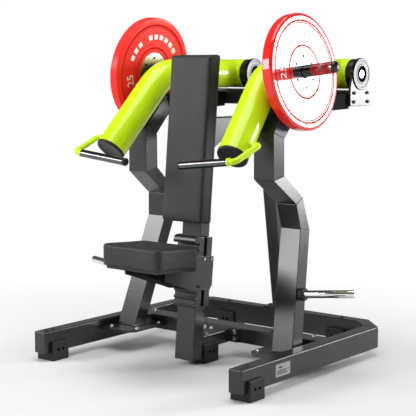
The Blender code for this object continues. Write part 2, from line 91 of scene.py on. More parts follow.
# Top beam and pivots
BEAM_HALF, BEAM_FRONT, BEAM_BACK = 0.3685, 0.930, 1.068
BEAM_LOW, BEAM_TOP = 1.013, 1.078
PIVOT_Y, PIVOT_Z = 0.998, 1.145
ARM_X, ARM_R, HUB_HALF, HUB_GAP = 0.270, 0.0605, 0.068, 0.0012
HOUSING_R, RING_R, BEARING_R, SHAFT_R = 0.0615, 0.0655, 0.0330, 0.0175
HOUSING_LENGTH, PLATE_THICK, RING_THICK = 0.030, 0.010, 0.005

# Arm centreline
ELBOW, ARM_END, ELBOW_RADIUS = (0.268, 0.497, 1.145), (0.3045, 0.230, 0.8515), 0.16

# Handles: both ends of the grip, then the bend of the rod
GRIP_IN, GRIP_OUT, GRIP_R = (0.142, 0.128, 0.813), (0.367, 0.125, 0.837), 0.0150
ROD_BEND, ROD_R = (0.405, 0.262, 0.893), 0.0115

# Pegs and weight plates
PEG_TILT = math.atan(0.12)
LOAD_X, LOAD_Z, DOME_STEPS = 0.382, 1.156, 9
LOAD_Y, PEG_R, PEG_ROOT, PEG_LENGTH = 0.555, 0.0230, 0.3318, 0.2010
PLATE_FROM, PLATE_BORE, HUB_R = 0.3605, 0.0252, 0.082
DISC_R, DISC_THICK, SCREW_RING = 0.225, 0.043, 0.060
DASH_IN, DASH_OUT, DASH_HALF, NUMERAL_AT = 0.137, 0.157, 0.075, 0.142
STORE_R, STORE_ROOT, STORE_LENGTH = 0.0150, (0.4225, 0.503, 0.307), 0.245

# Stage
FLOOR_GREY, FADE_FROM, FADE_TO, FADE_CENTRE = 0.77, 0.9, 2.7, (-0.4, 0.8, 0.0)
SKY = [(0.0, 1.0), (0.07, 1.0), (0.14, 0.35), (0.25, 0.10), (1.0, 0.12)]
CAMERA_PLACE, CAMERA_LENS = (3.029, -3.8781, 1.1867), 105.97
CAMERA_TURN = (math.radians(83.282), 0.0, math.radians(38.476))

# Fasteners: sides, then (height, share of the size) from the face outward
HEADS = {
    "washer": (24, [(0, 1.12), (0.0018, 1.12), (0.0023, 1.04)]),
    "hex": (6, [(0.002, 0.86), (0.0065, 0.86), (0.0078, 0.70)]),
    "dome": (24, [(0.002, 0.84), (0.0040, 0.80), (0.0058, 0.62), (0.0064, 0.42), (0.0044, 0.36),
                  (0.0044, 0.02)]),
    "socket": (24, [(0.002, 0.80), (0.0078, 0.80), (0.0088, 0.72), (0.0088, 0.44), (0.0050, 0.42),
                    (0.0050, 0.02)]),
}


# ---------------------------------------------------------------- materials

class Nodes:
    """Short forms for building the node tree of a material or a world."""

    def __init__(self, owner):
        owner.use_nodes = True
        self.tree = owner.node_tree

    def feed(self, node, values):
        """Links each output given, and sets each plain value, on the node's inputs."""
        for socket, value in values.items():
            if isinstance(value, bpy.types.NodeSocket):
                self.tree.links.new(value, node.inputs[socket])
            else:
                node.inputs[socket].default_value = value
        return node

    def new(self, kind, values):
        return self.feed(self.tree.nodes.new("ShaderNode" + kind), values)

    def coords(self, kind="Object"):
        return self.new("TexCoord", {}).outputs[kind]

    def noise(self, scale, detail, roughness=0.5):
        values = {"Vector": self.coords(), "Scale": scale, "Detail": detail, "Roughness": roughness}
        return self.new("TexNoise", values).outputs["Fac"]

    def ramp(self, source, stops):
        node = self.new("ValToRGB", {"Fac": source})
        while len(node.color_ramp.elements) < len(stops):
            node.color_ramp.elements.new(0.5)
        for element, (position, value) in zip(node.color_ramp.elements, stops):
            element.position = position
            element.color = colour(value)
        return node.outputs["Color"]

    def gloss(self, source, low, high):
        return self.ramp(source, [(0.3, low), (0.7, high)])


class Look(Nodes):
    """A material built round its principled shader."""

    def __init__(self, name):
        self.mat = bpy.data.materials.new(name)
        super().__init__(self.mat)
        self.shader = self.tree.nodes["Principled BSDF"]

    def finish(self, values, height, strength, distance):
        """Sets the shader's inputs, adds a bump and hands over the material."""
        bump = self.new("Bump", {"Strength": strength, "Distance": distance, "Height": height})
        self.feed(self.shader, dict(values, Normal=bump.outputs["Normal"]))
        return self.mat


def colour(value):
    """A grey level or a red-green-blue triple as RGBA."""
    rgb = value if isinstance(value, tuple) else (value,) * 3
    return (*rgb, 1.0)


def painted(name, dark, light, rough, grain, specular=0.5, coat=0.0, coat_rough=0.1, texture=0.25):
    """Paint with slow colour drift, fine grain in gloss and an orange-peel bump."""
    look = Look(name)
    fine = look.noise(grain, 4.0, 0.6)
    return look.finish({
        "Base Color": look.ramp(look.noise(7.0, 3.0), [(0.3, dark), (0.7, light)]),
        "Roughness": look.gloss(fine, rough - 0.05, rough + 0.06),
        "Specular IOR Level": specular, "Coat Weight": coat, "Coat Roughness": coat_rough},
        fine, texture, 0.0004)


def metal(name, dark, light, rough, grain=350.0, texture=0.05):
    look = Look(name)
    fine = look.noise(grain, 3.0)
    return look.finish({
        "Base Color": look.ramp(look.noise(18.0, 5.0), [(0.35, dark), (0.65, light)]),
        "Roughness": look.gloss(fine, max(0.02, rough - 0.04), rough + 0.06),
        "Metallic": 1.0}, fine, texture, 0.0002)


def rubber(name, dark, light, rough, specular=0.5):
    look = Look(name)
    mottled = look.noise(120.0, 6.0, 0.7)
    return look.finish({
        "Base Color": look.ramp(mottled, [(0.3, dark), (0.7, light)]),
        "Roughness": look.gloss(mottled, rough - 0.08, rough + 0.1),
        "Specular IOR Level": specular}, mottled, 0.3, 0.0004)


def vinyl(name, dark, light, rough):
    """Leather-grain upholstery: small cells with creases between them."""
    look = Look(name)
    cells = look.new("TexVoronoi", {"Vector": look.coords(), "Scale": 420.0})
    cells.feature = "DISTANCE_TO_EDGE"
    creases = look.ramp(cells.outputs["Distance"], [(0.0, 0.0), (0.12, 1.0)])
    return look.finish({
        "Base Color": look.ramp(look.noise(9.0, 4.0), [(0.3, dark), (0.7, light)]),
        "Roughness": look.gloss(look.noise(60.0, 4.0), rough - 0.02, rough + 0.03),
        "Specular IOR Level": 0.35}, creases, 0.35, 0.0004)


def knurled(name):
    """Chrome bar with a fine diamond knurl running round it; its base colour is darkened as painted shade
    for the dark surroundings it mirrors.
    """
    look = Look(name)
    waves = []
    for angle in (math.radians(32), math.radians(-32)):
        turn = look.new("Mapping", {"Vector": look.coords(), "Rotation": (0.0, angle, angle)})
        wave = look.new("TexWave", {"Vector": turn.outputs["Vector"], "Scale": 130.0})
        waves.append(wave.outputs["Fac"])
    both = look.new("Math", {0: waves[0], 1: waves[1]})
    both.operation = "MULTIPLY"
    return look.finish({
        # Base colour of 0.10 to 0.15: painted shade, not the chrome's own colour.
        "Base Color": look.gloss(look.noise(25.0, 4.0), 0.10, 0.15),
        "Metallic": 1.0, "Roughness": 0.20}, both.outputs["Value"], 0.25, 0.0003)


CHARCOAL = painted("charcoal_powder_coat", (0.018, 0.018, 0.019), (0.025, 0.025, 0.026), 0.24, 900.0,
                   texture=0.06)
DARK_STEEL = painted("black_satin_paint", 0.006, 0.010, 0.32, 700.0, texture=0.10)
LIME = painted("lime_gloss_paint", (0.50, 0.74, 0.006), (0.56, 0.80, 0.010), 0.35, 260.0,
               specular=0.1, coat=0.55, coat_rough=0.08, texture=0.02)
RED = painted("red_gloss_coating", (0.72, 0.012, 0.010), (0.80, 0.018, 0.014), 0.35, 300.0,
              specular=0.05, coat=1.0, coat_rough=0.06, texture=0.02)
# Brighter, less glossy copy of the plates' red coating, used on the left plate only: painted light, as both
# plates have the same coating.
RED_PAINTED_LIGHT = painted("red_coating_painted_light", (0.93, 0.028, 0.022), (0.98, 0.036, 0.028), 0.45, 300.0,
                    specular=0.05, coat=0.15, coat_rough=0.15, texture=0.02)
# Darker, unreflecting red at the bottom of the plate's grooves: painted shade in the recesses.
GROOVE_SHADE_RED = painted("red_groove_painted_shade", (0.50, 0.008, 0.008), (0.56, 0.012, 0.010), 0.60, 300.0,
                     specular=0.0, texture=0.05)
WHITE = painted("white_print", 0.80, 0.86, 0.45, 400.0, texture=0.02)
CHROME = metal("polished_chrome", (0.74, 0.74, 0.75), (0.84, 0.84, 0.85), 0.07)
# Darker copy of the chrome for the loading pegs: painted shade for the dark surroundings the pegs mirror.
CHROME_PAINTED_SHADE = metal("chrome_painted_shade", (0.34, 0.34, 0.35), (0.44, 0.44, 0.45), 0.09)
KNURL_PAINTED_SHADE = knurled("knurled_grip_painted_shade")
# One hub steel in two copies, darker for the right hub and lighter for the left hub: painted shade and
# painted light.
HUB_PAINTED_SHADE = metal("hub_steel_painted_shade", (0.085, 0.084, 0.080), (0.125, 0.124, 0.118), 0.20, texture=0.12)
HUB_PAINTED_LIGHT = metal("hub_steel_painted_light", (0.42, 0.41, 0.38), (0.60, 0.59, 0.55), 0.28, texture=0.12)
BOLT = metal("black_oxide_bolt", 0.05, 0.10, 0.30)
RING_STEEL = metal("dark_turned_steel", (0.030, 0.030, 0.031), (0.045, 0.045, 0.046), 0.24, texture=0.08)
ZINC = metal("zinc_bolt", (0.55, 0.55, 0.56), (0.72, 0.72, 0.73), 0.22)
RUBBER = rubber("moulded_rubber", 0.008, 0.014, 0.50, 0.35)
GLOSS_BLACK = rubber("smooth_rubber", 0.006, 0.011, 0.28)
MATTE_BLACK = rubber("matt_black_recess", 0.004, 0.008, 0.70, 0.05)
PAD = vinyl("dark_grey_vinyl", (0.021, 0.021, 0.022), (0.029, 0.029, 0.030), 0.50)
BACK_PAD = vinyl("charcoal_vinyl", (0.014, 0.014, 0.015), (0.020, 0.020, 0.021), 0.50)
# Darker copies of the vinyl for the seat's top and the backrest's sides: painted shade on the faces that
# look that way.
PAD_TOP_SHADE = vinyl("seat_top_vinyl_painted_shade", (0.012, 0.0115, 0.0105), (0.018, 0.017, 0.0155), 0.60)
PAD_SIDE_SHADE = vinyl("backrest_side_vinyl_painted_shade", 0.006, 0.010, 0.60)
SEAM = rubber("seam_thread", 0.008, 0.014, 0.60)
LABEL = painted("label_foil", 0.36, 0.42, 0.40, 300.0, texture=0.02)


# ---------------------------------------------------------------- geometry

def at(x, y, z):
    """A point from its depth behind the rails' front ends."""
    return Vector((x, y - DEPTH_MID, z))


def sided(sign, point):
    """A point given for the right side, or its mirror image."""
    x, y, z = point
    return at(sign * x, y, z)


def lean_y(z):
    """Depth of the column's front face at height z."""
    return COLUMN_FRONT + (z - BASE_LOW) * math.tan(LEAN)


def leaning(*points):
    """Outline from (depth behind the column's front face, height) pairs."""
    return [(lean_y(z) + depth, z) for depth, z in points]


def rack_front(z):
    return lean_y(z) - RACK_TOOTH - 0.0015


def seat_low(y):
    """Height of the seat's underside at depth y."""
    return SEAT_LOW - (y - SEAT_FRONT) * math.tan(SEAT_TILT)


def turns(count):
    """Angles of equal steps round a full turn."""
    return [2 * math.pi * k / count for k in range(count)]


def circle(centre, first, second, radius, angles):
    """Points of a circle in the plane of two unit vectors."""
    return [centre + (first * math.cos(a) + second * math.sin(a)) * radius for a in angles]


def frame_of(direction):
    """The direction and two more unit vectors, all at right angles."""
    forward = Vector(direction).normalized()
    side = forward.cross(Vector((0, 0, 1)))
    if side.length < 1e-6:
        side = Vector((1, 0, 0))
    side.normalize()
    return forward, side, forward.cross(side)


class Shape:
    """Closed solids gathered into one mesh object."""

    def __init__(self):
        self.verts = []
        self.faces = []

    def quads(self, rings, closed=False):
        """Skin over rings of points, capped at both ends or closed into a loop."""
        base = len(self.verts)
        count = len(rings[0])
        for ring in rings:
            self.verts.extend(Vector(v) for v in ring)
        total = len(rings)
        for k in range(total if closed else total - 1):
            n = (k + 1) % total
            for i in range(count):
                j = (i + 1) % count
                self.faces.append((base + k * count + i, base + k * count + j,
                                   base + n * count + j, base + n * count + i))
        if not closed:
            self.faces.append(tuple(base + i for i in range(count)))
            self.faces.append(tuple(base + (total - 1) * count + i for i in range(count)))
        return self

    def slab_x(self, outline, x0, x1):
        return self.quads([[at(x, y, z) for y, z in outline] for x in (x0, x1)])

    def slab_z(self, outline, z0, z1):
        return self.quads([[at(x, y, z) for x, y in outline] for z in (z0, z1)])

    def box(self, x0, x1, y0, y1, z0, z1):
        return self.slab_z([(x0, y0), (x1, y0), (x1, y1), (x0, y1)], z0, z1)

    def turned(self, start, direction, profile, segments=48, closed=False):
        """Solid of revolution; profile is (distance, radius) along the axis."""
        forward, side, other = frame_of(direction)
        return self.quads([circle(Vector(start) + forward * along, side, other, radius, turns(segments))
                           for along, radius in profile], closed)

    def swept(self, path, radius, segments=48, closed=False):
        """Round bar along a path of points."""
        points = [Vector(p) for p in path]
        count = len(points)
        forward, side, other = frame_of(points[1] - points[0])
        rings = []
        for k, point in enumerate(points):
            before = (point - points[k - 1]).normalized() if k or closed else forward
            after = (points[(k + 1) % count] - point).normalized() if k + 1 < count or closed else before
            tangent = (before + after).normalized()
            turn = forward.rotation_difference(tangent)
            side.rotate(turn)
            other.rotate(turn)
            forward = tangent
            rings.append(circle(point, side, other, radius, turns(segments)))
        return self.quads(rings, closed)

    def mesh(self, name):
        """Mesh of the gathered solids, its faces turned outward."""
        mesh = bpy.data.meshes.new(name)
        mesh.from_pydata(self.verts, [], self.faces)
        work = bmesh.new()
        work.from_mesh(mesh)
        bmesh.ops.recalc_face_normals(work, faces=work.faces)
        work.to_mesh(mesh)
        work.free()
        return mesh

    def tool(self):
        """An unattached solid, used only for cutting or joining."""
        return linked("tool", self.mesh("tool"))

    def make(self, name, mat, body, slot=None, replaces=(), edge=0.0, steps=3, angle=30.0):
        """Turns the gathered solids into a piece that rides on a CAD body."""
        mesh = self.mesh(name)
        mesh.materials.append(mat)
        mesh.shade_smooth()
        obj = linked(name, mesh)
        if edge:
            bevel(obj, edge, steps, angle).harden_normals = True
        else:
            mesh.set_sharp_from_angle(angle=math.radians(angle))
        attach(obj, body)
        if replaces:
            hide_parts(*replaces)
        return obj

    def steel(self, name, node, edge, steps=3, angle=30.0):
        """A charcoal piece of the frame that stands for one CAD node."""
        return self.make(name, CHARCOAL, "frame", "frame_paint", [node], edge, steps, angle)


def linked(name, data):
    obj = bpy.data.objects.new(name, data)
    bpy.context.collection.objects.link(obj)
    return obj


def bevel(obj, width, segments, angle):
    """Rounds the edges sharper than the angle in degrees."""
    mod = obj.modifiers.new("edges", "BEVEL")
    mod.width = width
    mod.segments = segments
    mod.limit_method = "ANGLE"
    mod.angle_limit = math.radians(angle)
    return mod


def combine(obj, shape, operation="DIFFERENCE"):
    """Takes the shape out of obj, or joins it on."""
    tool = shape.tool()
    mod = obj.modifiers.new("combine", "BOOLEAN")
    mod.operation = operation
    mod.solver = "EXACT"
    mod.object = tool
    apply_all(obj)
    bpy.data.objects.remove(tool, do_unlink=True)


def apply_all(obj):
    """Makes the modifiers' result the object's own mesh."""
    graph = bpy.context.evaluated_depsgraph_get()
    mesh = bpy.data.meshes.new_from_object(obj.evaluated_get(graph), depsgraph=graph)
    obj.modifiers.clear()
    obj.data = mesh


def across(vector, axis):
    """Unit part of the vector at right angles to the axis."""
    return (vector - axis * vector.dot(axis)).normalized()


def corner_arc(before, corner, after, radius):
    """Centre of the arc that rounds a corner, and both its ends seen from there."""
    first = (before - corner).normalized()
    second = (after - corner).normalized()
    half = first.angle(second) / 2
    reach = radius / math.tan(half)
    centre = corner + (first + second).normalized() * (radius / math.sin(half))
    return centre, corner + first * reach - centre, corner + second * reach - centre


def rounded(corners, radius, steps):
    """Path through corners with arcs of the given radius at the inner ones."""
    points = [Vector(c) for c in corners]
    path = [points[0]]
    for before, corner, after in zip(points, points[1:], points[2:]):
        centre, start, end = corner_arc(before, corner, after, radius)
        for k in range(steps + 1):
            path.append(centre + start.slerp(end, k / steps).normalized() * radius)
    path.append(points[-1])
    return path


def round_outline(corners, radii, steps=5):
    """Closed 2-D outline with every corner rounded by its own radius."""
    points = [Vector(c) for c in corners]
    out = []
    for k, radius in enumerate(radii):
        after = points[(k + 1) % len(points)]
        centre, start, end = corner_arc(points[k - 1], points[k], after, radius)
        turn = start.angle_signed(end)
        for i in range(steps + 1):
            out.append(tuple(centre + Matrix.Rotation(-turn * i / steps, 2) @ start))
    return out


def bolt_profile(shape, point, normal, size, kind):
    """Adds a washer and a fastener head standing on a face."""
    forward = Vector(normal).normalized()
    start = Vector(point) - forward * 0.0006
    for part in ("washer", kind):
        sides, profile = HEADS[part]
        shape.turned(start, forward, [(height, size * share) for height, share in profile], sides)


# ---------------------------------------------------------------- floor frame

def floor_frame():
    for sign, side in SIDES:
        outline = [(sign * RAIL_IN, 0.0), (sign * RAIL_OUT, 0.0),
                   (sign * RAIL_OUT, RAIL_END_OUT), (sign * RAIL_IN, RAIL_END_IN)]
        Shape().slab_z(outline, BASE_LOW, BASE_TOP).steel(
            side + "_floor_rail", side + "_rail", 0.005)
    half = 0.0005
    corner = [(RAIL_OUT, RAIL_END_OUT + half), (REAR_X_BACK, REAR_BACK), (-REAR_X_BACK, REAR_BACK),
              (-RAIL_OUT, RAIL_END_OUT + half), (-RAIL_IN, RAIL_END_IN + half),
              (-REAR_X_FRONT, REAR_FRONT), (REAR_X_FRONT, REAR_FRONT), (RAIL_IN, RAIL_END_IN + half)]
    Shape().slab_z(corner, BASE_LOW, BASE_TOP).steel(
        "rear_cross_tube", "rear_crossbar", 0.005, 3, 60.0)
    reach = RAIL_IN - GAP
    Shape().box(-reach, reach, MID_FRONT, MID_BACK, MID_LOW, BASE_TOP).steel(
        "middle_cross_tube", "mid_crossbar", 0.005)
    start = lean_y(SPINE_TOP) + COLUMN_DEPTH + 0.001
    Shape().box(-SPINE_HALF, SPINE_HALF, start, MID_FRONT - GAP, SPINE_LOW, SPINE_TOP).steel(
        "centre_tube", "centre_spine", 0.005)


def holes_in(obj, points, normal, radius=0.0065, depth=0.018):
    """Open screw holes along the normal of a face."""
    forward = Vector(normal)
    for point in points:
        combine(obj, Shape().turned(Vector(point) - forward * depth, forward,
                                    [(0, radius), (depth + 0.01, radius)], 20))


def saddle(x, outer, inner, low, y, name, node):
    """Rubber saddle under a tube that runs along Y, with two screw holes in each side."""
    outline = [(-outer, 0.0), (outer, 0.0), (outer, FOOT_WALL_TOP), (inner, FOOT_WALL_TOP),
               (inner, low), (-inner, low), (-inner, FOOT_WALL_TOP), (-outer, FOOT_WALL_TOP)]
    rings = [[at(x + dx, depth, z) for dx, z in outline] for depth in (y, y + FOOT_SIZE)]
    foot = Shape().quads(rings).make(name, RUBBER, "frame", "rubber_black", [node], 0.004)
    middle = y + FOOT_SIZE / 2
    for way in (1, -1):
        holes_in(foot, [at(x + way * outer, middle + step, 0.045) for step in (-0.013, 0.013)], (way, 0, 0))


def feet():
    rail_mid = (RAIL_IN + RAIL_OUT) / 2
    low = BASE_LOW - GAP
    for sign, side in SIDES:
        saddle(sign * rail_mid, FOOT_SIZE / 2, (RAIL_OUT - RAIL_IN) / 2 + GAP, low, 0.030,
               side + "_front_rubber_foot", side + "_front_foot")
        front, back = REAR_FRONT - 0.015, REAR_BACK + 0.015
        outline = [(front, 0.0), (back, 0.0), (back, FOOT_WALL_TOP), (REAR_BACK + GAP, FOOT_WALL_TOP),
                   (REAR_BACK + GAP, low), (REAR_FRONT - GAP, low),
                   (REAR_FRONT - GAP, FOOT_WALL_TOP), (front, FOOT_WALL_TOP)]
        x = sign * 0.290
        foot = Shape().slab_x(outline, x - FOOT_SIZE / 2, x + FOOT_SIZE / 2).make(
            side + "_rear_rubber_foot", RUBBER, "frame", "rubber_black", [side + "_rear_foot"], 0.004)
        holes_in(foot, [at(x + step, front, 0.045) for step in (-0.0115, 0.0115)], (0, -1, 0))
        holes_in(foot, [at(x + step, back, 0.045) for step in (-0.0115, 0.0115)], (0, 1, 0))
    saddle(0.0, 0.056, SPINE_HALF + GAP, SPINE_LOW - GAP, 0.3765, "centre_rubber_foot", "centre_foot")


# ---------------------------------------------------------------- uprights and rear

def leg_x(z):
    """Middle of an upright, which splays out towards its foot."""
    return LEG_FOOT_X - (min(z, LEG_SPLAY_TOP) - LEG_FRONT[0][1]) * LEG_SPLAY


def leg_ring(sign, k):
    (front_y, front_z), (rear_y, rear_z) = LEG_FRONT[k], LEG_REAR[k]
    return [at(sign * (leg_x(z) + half), y, z)
            for y, z, half in ((front_y, front_z, -LEG_HALF), (front_y, front_z, LEG_HALF),
                               (rear_y, rear_z, LEG_HALF), (rear_y, rear_z, -LEG_HALF))]


def uprights():
    for sign, side in SIDES:
        rings = [leg_ring(sign, k) for k in range(len(LEG_FRONT))]
        shape = Shape()
        for first, second in zip(rings[:-2], rings[1:-1]):
            shape.quads([first, second])
        shape.steel(side + "_bent_upright", side + "_upright", 0.0022, 2, 20.0)
        Shape().quads(rings[-2:]).make(
            side + "_upright_top_run", MATTE_BLACK, "frame", "frame_paint", edge=0.0022, steps=2)
        inner, outer = 0.295, RAIL_IN - GAP
        outline = [(sign * inner, 0.360), (sign * 0.325, 0.325), (sign * outer, 0.325),
                   (sign * outer, MID_FRONT - GAP), (sign * inner, MID_FRONT - GAP)]
        Shape().slab_z(outline, 0.083, 0.093).steel(
            side + "_foot_plate", side + "_leg_plate", 0.0012, 2)
        beads = Shape()
        path = rounded(rings[0] + [rings[0][0]], 0.0022, 2)[:-1]
        beads.swept([p + Vector((0, 0, 0.0006)) for p in path], 0.0026, 8, True)
        beads.make(side + "_upright_weld", CHARCOAL, "frame", "frame_paint")


def rear_structure():
    Shape().box(-0.090, 0.090, REAR_FRONT, REAR_BACK, BASE_TOP + GAP, BASE_TOP + 0.0083).steel(
        "rear_post_flange", "rear_post_plate", 0.0012, 2)
    low = BASE_TOP + 0.0089
    outline = [(0.957, low), (1.033, low), (0.9215, 0.8867), (0.8455, 0.8867)]
    Shape().slab_x(outline, -POST_HALF, POST_HALF).steel(
        "rear_support_post", "rear_post", 0.004)
    outline = [*leaning((COLUMN_DEPTH, 0.842)), (0.530, 0.887), (BEAM_FRONT - GAP, 0.887),
               (BEAM_FRONT - GAP, 1.066), (0.840, 0.975), *leaning((COLUMN_DEPTH, 0.975))]
    Shape().slab_x(outline, -POST_HALF, POST_HALF).steel(
        "middle_link_tube", "link_beam", 0.004)
    Shape().box(-BEAM_HALF, BEAM_HALF, BEAM_FRONT, BEAM_BACK, BEAM_LOW, BEAM_TOP).steel(
        "pivot_beam", "top_beam", 0.005)


def column():
    low, inside = COLUMN_LOW, TUBE_TOP
    outline = leaning((0, low), (COLUMN_DEPTH, low), (COLUMN_DEPTH, inside), (0, inside))
    tube = Shape().slab_x(outline, -COLUMN_HALF, COLUMN_HALF).steel(
        "column_tube", "seat_column", 0.004)
    rear_top = COLUMN_TOP - (SLEEVE_REAR - SLEEVE_FRONT) * math.sin(LEAN)
    outline = leaning((SLEEVE_FRONT, SLEEVE_LOW_FRONT), (SLEEVE_REAR, SLEEVE_LOW_REAR),
                      (SLEEVE_REAR, rear_top), (SLEEVE_FRONT, COLUMN_TOP))
    sleeve = Shape().slab_x(outline, -SLEEVE_HALF, SLEEVE_HALF).make(
        "guide_sleeve", CHARCOAL, "frame", "frame_paint", edge=0.002, steps=3)
    near, far, past = SLOT_MID - SLOT_WIDTH / 2, SLOT_MID + SLOT_WIDTH / 2, COLUMN_TOP + 0.010
    slot = leaning((near, SLOT_LOW), (far, SLOT_LOW), (far, past), (near, past))
    for part in (tube, sleeve):
        combine(part, Shape().slab_x(round_outline(slot, [0.008, 0.008, 0.001, 0.001]), -0.06, 0.06))
    near, far = SLOT_MID - 0.0085, SLOT_MID + 0.0085
    backing = leaning((near, 0.236), (far, 0.236), (far, 0.504), (near, 0.504))
    Shape().slab_x(backing, -0.012, 0.012).make("slot_spacer", GLOSS_BLACK, "frame", "rubber_black",
                                                edge=0.001, steps=1)


def rack():
    outline = []
    for k in range(RACK_TEETH):
        z = RACK_LOW + k * RACK_PITCH
        outline += [(lean_y(z) - RACK_WEB, z), (lean_y(z) - RACK_TOOTH, z + 0.005),
                    (lean_y(z) - RACK_TOOTH, z + 0.013), (lean_y(z) - RACK_WEB, z + 0.013)]
    outline += [(lean_y(z) - out, z) for out, z in HOOK]
    outline.append((lean_y(RACK_LOW) + SLEEVE_FRONT - GAP, RACK_LOW))
    Shape().slab_x(outline, -RACK_HALF, RACK_HALF).make(
        "toothed_rack", DARK_STEEL, "frame", "frame_paint", ["seat_rack"], 0.0012, 2)


def backrest_support():
    bottom, front, depth = COLUMN_TOP + GAP, 0.001, COLUMN_DEPTH - 0.002
    slope = -math.tan(LEAN)
    outline = [(lean_y(bottom) + front, bottom + front * slope),
               (lean_y(bottom) + front + depth, bottom + (front + depth) * slope),
               *leaning((front + depth, POST_TOP), (front, POST_TOP))]
    Shape().slab_x(outline, -COLUMN_HALF, COLUMN_HALF).steel(
        "backrest_support", "backrest_post", 0.004)


# ---------------------------------------------------------------- seat carriage

def seat_carriage():
    def board_top(y):
        return seat_low(y) - GAP

    def board_low(y):
        return board_top(y) - BOARD_THICK - GAP
    front, back = SEAT_FRONT + 0.020, SEAT_REAR - 0.010
    outline = [(front, board_top(front) - BOARD_THICK), (back, board_top(back) - BOARD_THICK),
               (back, board_top(back)), (front, board_top(front))]
    Shape().slab_x(outline, -0.130, 0.130).make(
        "seat_base_board", DARK_STEEL, "seat", "black_paint", ["seat_board"], 0.003)
    outline = [(0.030, board_low(0.030)), (0.030, 0.398), (0.274, 0.314), (rack_front(0.307), 0.307),
               (rack_front(0.392), 0.3925), (0.200, board_low(0.200))]
    Shape().slab_x(outline, -0.0560, 0.0560).make(
        "seat_support_box", MATTE_BLACK, "seat", "black_paint", ["seat_bracket"], 0.004)
    corners = [(0.129, 0.368), (0.129, board_low(0.129) - 0.0005), (0.243, board_low(0.243) - 0.0005),
               (0.281, 0.444), (0.426, 0.430), (0.413, 0.316), (0.399, 0.2985), (0.296, 0.3065)]
    outline = round_outline(corners, [0.003, 0.002, 0.002, 0.006, 0.006, 0.008, 0.008, 0.012], 4)
    for sign, side in SIDES:
        Shape().slab_x(outline, sign * 0.0565, sign * 0.0625).make(
            side + "_seat_side_plate", CHARCOAL, "seat", "frame_paint", [side + "_seat_plate"], 0.0010, 2)


# ---------------------------------------------------------------- pivots

def circle_yz(y, z, radius, count):
    return [(y + radius * math.cos(a), z + radius * math.sin(a)) for a in turns(count)]


def hull(points):
    """Convex outline round 2-D points."""
    points = sorted(set(points))

    def half(sequence):
        chain = []
        for p in sequence:
            while len(chain) >= 2:
                (ax, ay), (bx, by) = chain[-2], chain[-1]
                if (bx - ax) * (p[1] - ay) - (by - ay) * (p[0] - ax) > 1e-9:
                    break
                chain.pop()
            chain.append(p)
        return chain[:-1]
    return half(points) + half(points[::-1])


def pivot_bracket(side, part, inside, outward, outline_low, half_length):
    """Plate, bearing housing and end ring, from x = inside in the outward direction."""
    plate_from = inside + outward * HOUSING_LENGTH
    plate_to = plate_from + outward * PLATE_THICK
    points = circle_yz(PIVOT_Y, PIVOT_Z, HOUSING_R, 64)
    shoulder = outline_low + 0.072 if outline_low < BEAM_TOP - 0.01 else outline_low + 0.012
    points += [(PIVOT_Y - half_length, outline_low), (PIVOT_Y + half_length, outline_low),
               (PIVOT_Y - half_length, shoulder), (PIVOT_Y + half_length, shoulder)]
    node = f"{side}_{part}_bracket"
    name = f"{side}_{part}_pivot_plate"
    plate = Shape().slab_x(hull(points), plate_from, plate_to).steel(
        name, node, 0.0012, 2)
    start = at(inside, PIVOT_Y, PIVOT_Z)
    bore = BEARING_R + 0.004
    combine(plate, Shape().turned(start, (outward, 0, 0), [(-0.02, bore), (0.08, bore)], 64))
    r = HOUSING_R
    Shape().turned(start, (outward, 0, 0),
                   [(0.0, BEARING_R + 0.001), (0.0, r - 0.002), (0.002, r), (0.012, r),
                    (0.0128, r - 0.0012), (0.0142, r - 0.0012), (0.015, r), (0.0295, r),
                    (0.0295, BEARING_R + 0.001)],
                   64, True).make(f"{side}_{part}_bearing_housing", GLOSS_BLACK, "frame",
                                  "rubber_black", angle=35.0)
    start = at(plate_to, PIVOT_Y, PIVOT_Z)
    ring, b = RING_R, BEARING_R
    Shape().turned(start, (outward, 0, 0),
                   [(-0.009, b + 0.001), (-0.009, ring - 0.0005), (-0.0015, ring - 0.0005), (0.0, ring),
                    (0.0035, ring), (0.005, ring - 0.002), (0.005, ring - 0.010), (0.0035, ring - 0.012),
                    (0.0035, b + 0.008), (0.0050, b + 0.006), (0.0050, b + 0.001)],
                   64, True).make(f"{side}_{part}_end_ring", RING_STEEL, "frame",
                                  "steel_bare", angle=25.0)


def pivots():
    length = HOUSING_LENGTH + PLATE_THICK + RING_THICK
    for sign, side in SIDES:
        outer_in = sign * (ARM_X + HUB_HALF + HUB_GAP)
        inner_in = sign * (ARM_X - HUB_HALF - HUB_GAP)
        pivot_bracket(side, "outer", outer_in, sign, 1.015, 0.079)
        pivot_bracket(side, "inner", inner_in, -sign, BEAM_TOP + GAP, 0.055)
        for part, start, outward in (("outer", outer_in, sign), ("inner", inner_in, -sign)):
            r, s = BEARING_R - GAP, SHAFT_R + GAP
            Shape().turned(at(start, PIVOT_Y, PIVOT_Z), (outward, 0, 0),
                           [(0.0, s), (0.0, r), (length - 0.006, r), (length - 0.006, r - 0.003),
                            (length - 0.008, r - 0.0045), (length - 0.008, s + 0.006),
                            (length - 0.005, s + 0.005), (length - 0.005, s)],
                           48, True).make(f"{side}_{part}_roller_bearing", MATTE_BLACK, "frame",
                                          "rubber_black", [f"{side}_{part}_bearing"], angle=25.0)
        reach = HUB_HALF + HUB_GAP + length - 0.001
        centre = at(sign * ARM_X, PIVOT_Y, PIVOT_Z)
        r = SHAFT_R
        Shape().turned(centre - Vector((reach, 0, 0)), (1, 0, 0),
                       [(0.0006, 0.002), (0.0006, 0.007), (0, 0.0085), (0, r - 0.002), (0.002, r),
                        (2 * reach - 0.002, r), (2 * reach, r - 0.002), (2 * reach, 0.0085),
                        (2 * reach - 0.0006, 0.007), (2 * reach - 0.0006, 0.002)], 48).make(
            side + "_axle", CHROME, side + "_arm_body", "chrome", [side + "_pivot_shaft"], angle=25.0)


# ---------------------------------------------------------------- arms

def arm_points(sign):
    """Elbow and lower end of an arm's centreline."""
    return sided(sign, ELBOW), sided(sign, ARM_END)


